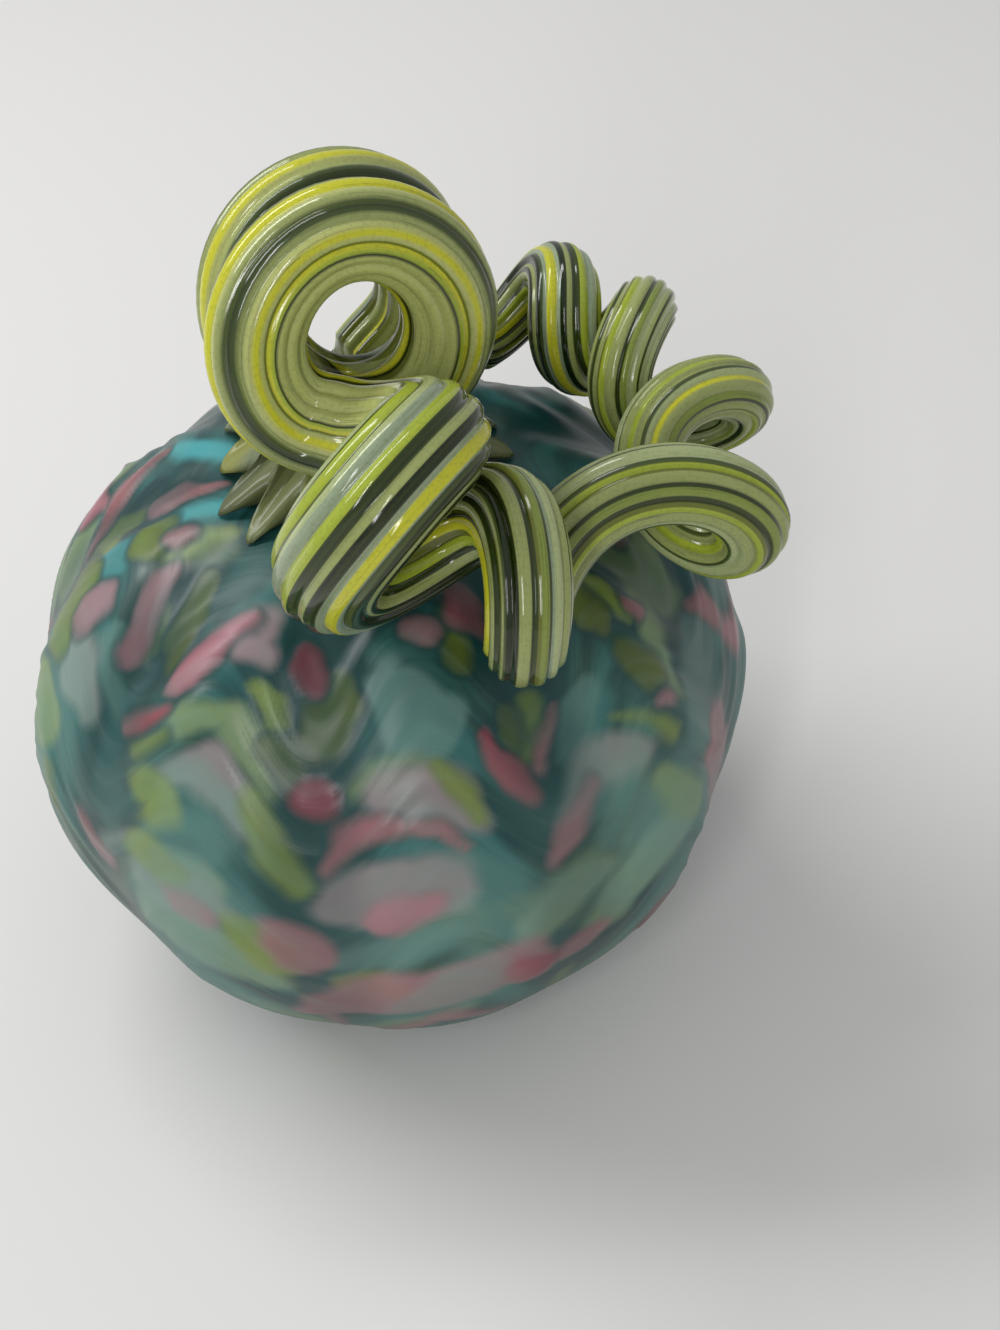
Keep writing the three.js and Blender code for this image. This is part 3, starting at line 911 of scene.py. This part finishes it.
def cane_tree():
    network, size = shape_tree("Ribbed cane", CANE)
    path = size["Geometry"]
    count = network.node("GeometryNodeAttributeDomainSize", {"component": "MESH"}, {"Geometry": path})
    rows = count - size["First Row"]
    grid = network.node("GeometryNodeMeshGrid", {}, {
        "Size X": 1.0, "Size Y": 1.0, "Vertices X": size["Columns"] + 1.0, "Vertices Y": rows})
    flat = network.node("ShaderNodeSeparateXYZ", {}, {0: network.node("GeometryNodeInputPosition")})
    angle = flat.out("X") * math.tau
    row = ((flat.out("Y") + 0.5) * (rows - 1.0)).of("ROUND") + size["First Row"]

    def there(name, kind):
        known = network.node("GeometryNodeInputNamedAttribute", {"data_type": kind}, {"Name": name})
        return network.node("GeometryNodeSampleIndex", {"data_type": kind, "domain": "POINT"}, {
            "Geometry": path, "Value": known, "Index": row})

    def add(first, second):
        return network.node("ShaderNodeVectorMath", {"operation": "ADD"}, {0: first, 1: second})

    def scaled(vector, by):
        return network.node("ShaderNodeVectorMath", {"operation": "SCALE"}, {0: vector, "Scale": by})

    slow, quick = (angle * 3.0 + 1.0).of("SINE"), (angle * 5.0).of("SINE")
    swayed = angle + size["Sway"] * slow + size["Sway"] * quick
    wave = ((swayed - size["Rib Turn"]) * size["Ribs"] * 0.5).of("COSINE")
    ridge = wave.of("ABSOLUTE") ** size["Rib Flat"]
    radius = there("radius_there", "FLOAT") * (1.0 - size["Rib Depth"] * (1.0 - ridge))
    place = add(there("position", "FLOAT_VECTOR"),
                add(scaled(there("normal_way", "FLOAT_VECTOR"), radius * angle.of("COSINE")),
                    scaled(there("binormal_way", "FLOAT_VECTOR"), radius * angle.of("SINE"))))
    strip = network.vector(flat.out("X") + 0.5, there("travel", "FLOAT"), 0.0)
    striped = store(network, grid, "UVMap", strip, "FLOAT2", "CORNER")
    bent = network.node("GeometryNodeSetPosition", {}, {"Geometry": striped, "Position": place})
    claws = network.node("GeometryNodeObjectInfo", {"transform_space": "RELATIVE"}, {
        "Object": size["Root"]}, "Geometry")
    joined = network.node("GeometryNodeJoinGeometry")
    for part in (claws, bent):
        network.tree.links.new(part.socket, joined.socket.node.inputs[0])
    end_tree(network, joined, CANE_WELD, size["Finish"])
    return network


stem = grow("stem_glass", cane_tree(), CANE, path_mesh(cane_rows))
bpy.data.objects.remove(root)

# %% [markdown]
# Colours are written as they look on screen, like paint chips, and turned into the linear numbers
# that light needs. Chips, stripes and haze are all laid over a ground colour with Mix nodes.

# %% Helpers for finishes
def paints(codes):
    """Screen colours such as 5f8782, as linear light."""
    made = {}
    for name, code in codes.items():
        parts = [int(code[i:i + 2], 16) / 255 for i in (0, 2, 4)]
        made[name] = tuple(v / 12.92 if v <= 0.04045 else ((v + 0.055) / 1.055) ** 2.4 for v in parts)
    return made


def as_input(colour):
    """A network's colour as it is, or three plain numbers with full cover."""
    return colour if isinstance(colour, Value) else (*colour, 1)


def mixed(network, share, first, second):
    """The first colour, with a share of the second laid over it."""
    return network.node("ShaderNodeMix", {"data_type": "RGBA"}, {
        "Factor": share, "A": as_input(first), "B": as_input(second)})


def attribute(network, name):
    """A value that the shape's tree or the melting stored under a name."""
    return network.node("ShaderNodeAttribute", {"attribute_name": name}, {}, "Fac")


def end_finish(network, fixed, changing, bump):
    """Ends a finish in one glass surface. Plain numbers are set on the shader's own sockets."""
    shader = network.node("ShaderNodeBsdfPrincipled", {}, {**fixed, **changing, "Normal": bump})
    network.node("ShaderNodeOutputMaterial", {}, {"Surface": shader})
    print("a finish of", len(network.tree.nodes), "nodes")


# %% [markdown]
# The skin is acid-etched to a satin: a milky haze over deep teal glass, thickest low on the lobes.
# Part of that haze is a painted sheen on the lobes' crests. Under it lie the chips. Their edges are
# soft, because they melted, and softer lower down, where the glass stretched most. Painted shade
# darkens each chip towards its edge, and high up a thin line of painted shade runs round the small
# ones. Painted shade also darkens the valleys, thin creases along the drapes, and the underside.
# Every layer is a value that goes smoothly from 0 to 1 between two levels, so each pair below says
# where one of these edges starts and ends.

# %% The satin skin
# The haze colour stands for the frosted haze and for painted sheen; the aqua colour for aqua glass and
# its painted sheen.
SKIN = paints({
    "deep": "0b3838", "mid": "2c6663", "haze_and_sheen": "74968a", "pale": "688d85", "aqua": "48a6ab",
    "sage": "7b8f5c", "mauve": "937e82", "lime": "72862c", "olive": "46531a", "pink": "a86a74",
    "coral": "9b5f64", "rose": "903346",
})
MELTED = {
    "deep": ("mid", 0.9), "pale": ("mid", 0.6), "aqua": ("mid", 0.88), "sage": ("haze_and_sheen", 0.75),
    "mauve": ("haze_and_sheen", 0.85), "lime": ("sage", 0.85), "olive": ("lime", 0.92), "pink": ("mauve", 0.85),
    "coral": ("mauve", 0.88), "rose": ("coral", 0.95),
}
SMALL_CHIPS = ("olive", "pink", "coral", "rose")
HAZY_CHIPS = ("deep", "pale", "aqua", "mauve", "sage")
POOL_SCALES = (24.0, 0.09)
STREAK_SCALES = (28.0, 0.2)
STAIN_SCALES = (38.0, 0.07)
DRAG_SCALES = (40.0, 0.8)
STAIN_SHIFT = 5 / STAIN_SCALES[0]
CLOUD_SCALE = 34.0
LOW_SIDE = (48.0, 0.0)
UNDERSIDE_SHADE = (-4.0, -38.0)
POOL_EDGE = (0.3, 0.62)
STAIN_EDGE = (0.5, 0.68)
VALLEY_SHADE_EDGE = (0.4, 0.95)
CREASE_SHADE_EDGE = (0.0, 0.03)
RIM_SHADE_EDGE = (0.38, 0.49)
CHIP_SHADE_EDGE = (0.5, 0.64)
TINT_EDGE = (0.42, 0.66)
STREAK_EDGE = (0.45, 0.66)
MILK_AND_SHEEN_EDGE = (0.4, 0.6)
SATIN_ROUGHNESS, MILK_ROUGHNESS = 0.34, 0.1
SATIN_BUMP = {"Strength": 0.12, "Distance": 0.4 * MM}
GLASS_IOR = 1.5


def skin_finish():
    network = Network(satin_skin.node_tree)
    place = network.node("ShaderNodeTexCoord", {}, {}, "Object")
    spot = network.node("ShaderNodeSeparateXYZ", {}, {0: place})
    x, y = spot.out("X"), spot.out("Y")
    arch, valley = attribute(network, "arch"), attribute(network, "valley")
    latitude = attribute(network, "latitude")
    broad = network.drawn_noise(x, y, arch, POOL_SCALES, 2.0)
    streak = network.drawn_noise(x, y, arch, STREAK_SCALES, 2.0, 0.6)
    stain = network.drawn_noise(x + STAIN_SHIFT, y, arch, STAIN_SCALES, 2.0, 0.4)
    cloudy = network.noise(place, CLOUD_SCALE, 2.0)
    low = network.smooth(latitude, *LOW_SIDE)

    # Pools of lighter teal are drawn noise, thinned a little in the valleys as painted shade.
    pool = broad + (streak - 0.5) * 0.3 - valley * 0.15 + low * 0.14 - 0.05
    light = network.smooth(pool, *POOL_EDGE)
    stained = network.smooth(stain, *STAIN_EDGE) * (0.1 + low * 0.2)
    # Painted shade: the valleys are darkened towards deep teal, less so low on the body.
    valley_shade = network.smooth(valley, *VALLEY_SHADE_EDGE) * (0.9 - low * 0.45)
    # Painted shade: thin dark lines along the streaks stand for shaded creases in the drapes.
    crease_shade = network.smooth((streak - 0.5).of("ABSOLUTE"), *CREASE_SHADE_EDGE, 0.3, 0.0)
    colour = SKIN["deep"]
    for share, name in ((light, "mid"), (stained, "sage"), (valley_shade, "deep"), (crease_shade, "deep")):
        colour = mixed(network, share, colour, SKIN[name])
    for kind, (partner, cover) in MELTED.items():
        inward = attribute(network, kind) + (streak - 0.5) * 0.1
        soft = 0.05 + low * 0.07 + 0.025 * (kind in HAZY_CHIPS)
        inner = network.smooth(inward, 0.5 - soft, 0.5 + soft)
        # Painted shade: high up, a thin dark line runs round each small chip.
        if kind in SMALL_CHIPS:
            rim = network.smooth(inward, *RIM_SHADE_EDGE) * (0.7 - low * 0.7)
            colour = mixed(network, rim, colour, SKIN["deep"])
        turned = network.smooth(cloudy, *TINT_EDGE, low * 0.25, low * 0.1 + 0.65)
        tint = mixed(network, turned, SKIN[kind], SKIN[partner])
        # Painted shade: each chip but the pale ones darkens towards its edge, less so low on the body.
        edge = network.smooth(inward, *CHIP_SHADE_EDGE, 0.4, 0.0) * (1.0 - low * 0.85) * (kind != "pale")
        tint = mixed(network, edge, tint, SKIN["deep"])
        tint = mixed(network, network.smooth(streak, *STREAK_EDGE) * 0.13, tint, SKIN["haze_and_sheen"])
        colour = mixed(network, inner * cover, colour, tint)
    # The milky haze is partly a painted sheen: it lies on the crests, hardly in the valleys, and most
    # low on the body.
    milk_and_sheen = network.smooth(broad * 0.5 + cloudy * 0.5, *MILK_AND_SHEEN_EDGE) * (1.0 - valley * 0.85)
    colour = mixed(network, milk_and_sheen * (0.04 + 0.34 * low), colour, SKIN["haze_and_sheen"])
    # Painted shade: the underside is darkened towards deep teal, and the valleys once more.
    underside_shade = network.smooth(latitude, *UNDERSIDE_SHADE)
    colour = mixed(network, valley_shade * 0.6 + underside_shade * 0.35, colour, SKIN["deep"])

    drag = network.drawn_noise(x, y, arch, DRAG_SCALES)
    bump = network.node("ShaderNodeBump", {}, {**SATIN_BUMP, "Height": drag})
    end_finish(network, {"IOR": GLASS_IOR, "Specular IOR Level": 0.4},
               {"Base Color": colour, "Roughness": SATIN_ROUGHNESS + MILK_ROUGHNESS * milk_and_sheen}, bump)


skin_finish()

# %% [markdown]
# The cane was cased in rods of different greens before it was pulled, so its stripes keep their
# order round the cane. Three lists hold that order, in degrees round the cane where each stripe
# starts: on the crown's coils, on the wide band with its tail, and on the side curls, where the
# pull has thinned the dark rods. A colour ramp holds few stops, so a long list is laid over several
# ramps. The stripes' edges are blurred by a few degrees on the thick crown, and by less where the
# cane was pulled thin.

# %% The stripes
CANE_PAINT = paints({
    "cream": "b0b56e", "sage": "949d60", "pale": "a3ae7b", "grey": "8f9d80", "fern": "7d8c3e",
    "lime": "9dab35", "yellow": "c3c22c", "olive": "666c2a", "moss": "3f4c26", "dark": "27340f",
    "black": "101d06", "horn": "63694a",
})
CROWN = [
    (0, "cream"), (19, "black"), (20.5, "lime"), (25, "yellow"), (30, "olive"), (32, "cream"),
    (39, "yellow"), (50, "cream"), (60, "sage"), (68, "moss"), (73, "dark"), (84, "moss"),
    (88, "sage"), (98, "cream"), (108, "yellow"), (126, "sage"), (138, "dark"), (146, "sage"),
    (155, "black"), (172, "moss"), (178, "sage"), (190, "olive"), (198, "yellow"), (208, "fern"),
    (218, "dark"), (228, "fern"), (240, "yellow"), (252, "grey"), (268, "dark"), (276, "olive"),
    (290, "sage"), (304, "yellow"), (312, "black"), (314, "olive"), (322, "cream"),
]
BAND = [
    (0, "grey"), (5, "dark"), (13, "fern"), (26, "olive"), (30, "dark"), (37, "sage"),
    (51, "black"), (66, "moss"), (70, "sage"), (75, "olive"), (80, "dark"), (91, "sage"),
    (103, "black"), (113, "yellow"), (127, "olive"), (136, "lime"), (149, "dark"), (162, "sage"),
    (178, "black"), (186, "sage"), (191, "black"), (206, "moss"), (212, "grey"), (220, "yellow"),
    (233, "grey"), (240, "black"), (252, "sage"), (262, "dark"), (275, "lime"), (290, "grey"),
    (303, "pale"), (313, "moss"), (318, "lime"), (329, "dark"), (333, "sage"), (345, "pale"),
]
CURLS = [
    (0, "sage"), (14, "moss"), (20, "pale"), (32, "yellow"), (40, "sage"), (58, "fern"),
    (72, "dark"), (79, "sage"), (95, "olive"), (100, "lime"), (110, "sage"), (128, "dark"),
    (136, "fern"), (150, "pale"), (164, "sage"), (171, "dark"), (176, "pale"), (198, "moss"),
    (206, "lime"), (216, "olive"), (222, "sage"), (239, "dark"), (245, "fern"), (258, "dark"),
    (268, "olive"), (276, "lime"), (287, "sage"), (306, "pale"), (322, "moss"), (328, "sage"),
    (344, "lime"),
]
BLURS = (3, 0.6, 0.9)
STRIPES_PER_RAMP = 15
print("stripes on the crown, the band and the curls:", len(CROWN), len(BAND), len(CURLS))


def striped(network, turn, stripes, blur):
    """The colour of a list of stripes at degrees round the cane, blurred over some degrees."""
    ends = [start for start, _ in stripes[1:]] + [360]
    colour = None
    for first in range(0, len(stripes), STRIPES_PER_RAMP):
        chunk = list(zip(stripes, ends))[first:first + STRIPES_PER_RAMP]
        low, high = chunk[0][0][0], chunk[-1][1]
        stops = []
        for (start, name), end in chunk:
            soft = min(blur, 0.3 * (end - start))
            for place in (start + soft, end - soft):
                stops.append(((place - low) / (high - low), CANE_PAINT[name]))
        along = (turn - low) / (high - low)
        ramp = network.node("ShaderNodeValToRGB", {"stops": stops}, {"Fac": along}, "Color")
        colour = ramp if colour is None else mixed(network, turn > low, colour, ramp)
    return colour


# %% [markdown]
# The cane's UV layout is its own map: across it runs round the cane, and up it counts the metres
# from the root. So the finish can say where along the pull it changes. The stripes drift a little,
# fine dark threads run along them, and a thin clear coat gives the wet gloss. The root, which
# touched the cooler body, is duller and horn coloured. On the back turn of the crown the stripes
# are twisted, so that a dark rod lies in its groove. One list of stripes takes over from another
# between two angles of the winding, where a fold hides the cane.

# %% The striped cane
BACK_TWIST = 0.19
TWIST_END = (150, 330)
TAKE_OVER = ((728, 752), (1345, 1385), (2340, 2400))
ROOT_FADE = (-12 * MM, 16 * MM)
DRIFT, WOBBLE = 0.05, 0.012
DRIFT_SCALES = (1.3, 9.0)
WOBBLE_SCALES = (4.0, 22.0)
THREAD_SCALES = (16.0, 9.0)
SPECK_SCALE = 1500.0
THREAD_EDGE = (0.0, 0.012)
SHADE_EDGE = (0.4, 0.7)
SPECK_EDGE = (0.52, 0.64)
SHARES = {"dark": 0.55, "lime": 0.06, "moss": 0.13, "horn": 0.72}
CANE_ROUGHNESS, ROOT_ROUGHNESS = 0.12, 0.2
CANE_COAT, COAT_LOST = 0.15, 0.13
CANE_BUMP = {"Strength": 0.3, "Distance": 0.2 * MM}


def travel_at(wound):
    """Metres of cane before a wound angle."""
    return cane_rows[4][NECK_STEPS + round((wound - FIRST_WOUND) / WOUND_STEP)]


def cane_finish():
    network = Network(cane_gloss.node_tree)
    layout = network.node("ShaderNodeUVMap", {"uv_map": "UVMap"})
    strip = network.node("ShaderNodeSeparateXYZ", {}, {0: layout})
    across, travel = strip.out("X"), strip.out("Y")
    place = network.node("ShaderNodeTexCoord", {}, {}, "Object")
    east, north = (across * math.tau).of("COSINE"), (across * math.tau).of("SINE")
    wander = network.drawn_noise(east, north, travel, DRIFT_SCALES)
    finer = network.drawn_noise(east, north, travel, WOBBLE_SCALES)
    drift = (wander - 0.5) * DRIFT + (finer - 0.5) * WOBBLE
    twist = network.smooth(travel, *map(travel_at, TWIST_END), BACK_TWIST, 0.0)
    turn = (across + 0.5 + drift + twist).of("FRACT") * 360.0
    colour, band, curls = (striped(network, turn, stripes, blur)
                           for stripes, blur in zip((CROWN, BAND, CURLS), BLURS))
    for span, after in zip(TAKE_OVER, (band, curls, band)):
        share = network.smooth(travel, *map(travel_at, span))
        colour = mixed(network, share, colour, after)

    fine = network.drawn_noise(east, north, travel, THREAD_SCALES, 2.0)
    thread = network.smooth((fine - 0.5).of("ABSOLUTE"), *THREAD_EDGE, 1.0, 0.0)
    shade = network.smooth(fine, *SHADE_EDGE)
    specks = network.smooth(network.noise(place, SPECK_SCALE), *SPECK_EDGE)
    rooted = network.smooth(travel, *ROOT_FADE, 1.0, 0.0)
    for name, layer in (("dark", thread), ("lime", shade), ("moss", specks), ("horn", rooted)):
        colour = mixed(network, layer * SHARES[name], colour, CANE_PAINT[name])
    bump = network.node("ShaderNodeBump", {}, {**CANE_BUMP, "Height": fine})
    end_finish(network, {"IOR": GLASS_IOR, "Specular IOR Level": 0.42, "Coat Roughness": 0.02}, {
        "Base Color": colour, "Roughness": CANE_ROUGHNESS + ROOT_ROUGHNESS * rooted,
        "Coat Weight": CANE_COAT - COAT_LOST * rooted}, bump)


cane_finish()

# %% [markdown]
# Each new piece now stands for its measured one. It rides on the same body and hides the measured
# solid, which stays behind for collisions.

# %% Hand the pieces over
PIECES = (
    (body, "body_shell", "satin_mottled_glass"),
    (stem, "stem", "striped_cane_glass"),
)
for piece, node, slot in PIECES:
    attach(piece, "root")
    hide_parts(node)
    low, high = ([round(f(c[k] for c in piece.bound_box) / MM, 1) for k in range(3)] for f in (min, max))
    print(piece.name, "reaches from", low, "to", high, "in mm")

# %% [markdown]
# The set is a plain pale table under soft daylight: two long narrow lamps and a pale sky. One lamp
# stands behind the pumpkin on the left, the other in front of it on the left. Their long sides are
# laid along the cane, so that its ribs catch long thin glints. The lamps are kept at a level where
# colours come out as they are written.

# %% Table, lamps and sky
FLOOR_PAINT = (0.74, 0.73, 0.71)
FLOOR_ROUGHNESS = 0.8
FLOOR_HALF = 3.0
LAMPS = [
    ("back_lamp", (-0.55, 0.35, 0.85), (-0.73, -0.35, -0.59), 0.2, 1.0, 6.6),
    ("front_lamp", (-0.35, -1.0, 0.75), (-0.07, -0.68, -0.73), 0.1, 0.8, 4.6),
]
SKY = (0.95, 0.96, 0.98)
SKY_STRENGTH = 0.48

table_mesh = bpy.data.meshes.new("table")
corners = [(x * FLOOR_HALF, y * FLOOR_HALF, 0) for x, y in ((-1, -1), (1, -1), (1, 1), (-1, 1))]
table_mesh.from_pydata(corners, [], [(0, 1, 2, 3)])
table = add_object("table", table_mesh)
table_finish = bpy.data.materials.new("pale_table")
table_finish.use_nodes = True
table_finish.node_tree.nodes.clear()
network = Network(table_finish.node_tree)
shader = network.node("ShaderNodeBsdfPrincipled", {}, {
    "Base Color": (*FLOOR_PAINT, 1), "Roughness": FLOOR_ROUGHNESS})
network.node("ShaderNodeOutputMaterial", {}, {"Surface": shader})
table_mesh.materials.append(table_finish)

for name, place, along, width, length, power in LAMPS:
    lamp = bpy.data.lights.new(name, "AREA")
    lamp.shape = "RECTANGLE"
    lamp.size = width
    lamp.size_y = length
    lamp.energy = power
    holder = add_object(name, lamp)
    back = (Vector(place) - BODY_MIDDLE).normalized()
    across = Vector(along).cross(back).normalized()
    facing = Matrix((across, back.cross(across), back)).transposed().to_4x4()
    holder.matrix_world = Matrix.Translation(place) @ facing

world = bpy.data.worlds.new("sky")
bpy.context.scene.world = world
world.use_nodes = True
background = world.node_tree.nodes["Background"]
background.inputs["Color"].default_value = (*SKY, 1)
background.inputs["Strength"].default_value = SKY_STRENGTH
bpy.context.scene.view_settings.view_transform = "Standard"
print("lamps:", [name for name, *_ in LAMPS])
